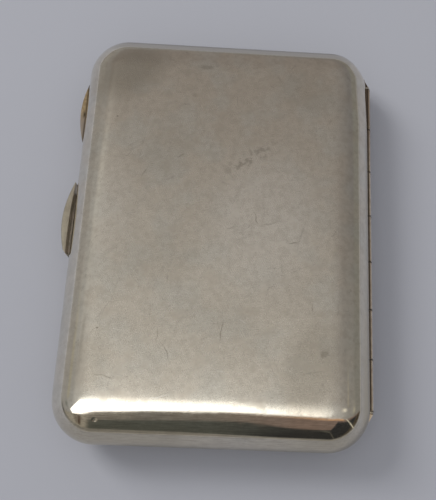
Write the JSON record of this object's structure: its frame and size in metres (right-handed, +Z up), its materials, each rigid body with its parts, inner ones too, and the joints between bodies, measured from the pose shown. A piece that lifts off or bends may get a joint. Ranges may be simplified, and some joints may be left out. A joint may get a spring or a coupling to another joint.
{
  "type": "cigarette case",
  "caption": "Slim pocket cigarette case of pressed silver with soft cushion edges, a long side hinge, a crescent thumb catch and a gilt interior with an elastic retaining strap",
  "frame": {"origin": "centre of the flat outer face of the base, on which the case lies, at z = 0", "axes": "+Z up through the lid, +Y along the hinge towards the end that is at the top of the picture, +X towards the hinge, so the thumb-piece is at -X"},
  "size_m": [0.063, 0.0846, 0.0133],
  "materials": {
    "silver": "polished sterling silver, worn to a soft satin with fine scratches and faint warm tarnish",
    "gilt": "worn fire gilding, satin",
    "elastic": "woven elastic webbing, faded gold",
    "spring_steel": "tempered and lightly brushed"
  },
  "bodies": {
    "base": {"base_shell": "silver", "base_bezel": "gilt", "base_bearer": "silver", "base_knuckles": "silver", "hinge_pin": "silver", "hinge_plugs": "silver", "retaining_strap": "elastic", "strap_front_plate": "gilt", "strap_back_plate": "gilt", "strap_rivets": "gilt", "catch_block": "silver", "catch_rivets": "spring_steel"},
    "lid": {"lid_shell": "silver", "lid_bearer": "silver", "lid_knuckles": "silver", "catch_keeper": "gilt"},
    "catch": {"catch_spring": "spring_steel", "catch_nib": "spring_steel", "thumb_piece": "silver", "thumb_rivet": "spring_steel"}
  },
  "joints": [
    {"name": "lid_hinge", "type": "hinge", "parent": "base", "child": "lid", "pos_m": [0.02985, 0, 0.00663], "axis": [0, 1, 0], "range_deg": [0, 110]},
    {"name": "catch_press", "type": "hinge", "parent": "base", "child": "catch", "pos_m": [-0.02755, 0.01475, 0.0046], "axis": [0, 0, 1], "range_deg": [0, 1.5], "stiffness_Nm_per_rad": 0.6, "springref_deg": -1.15}
  ]
}
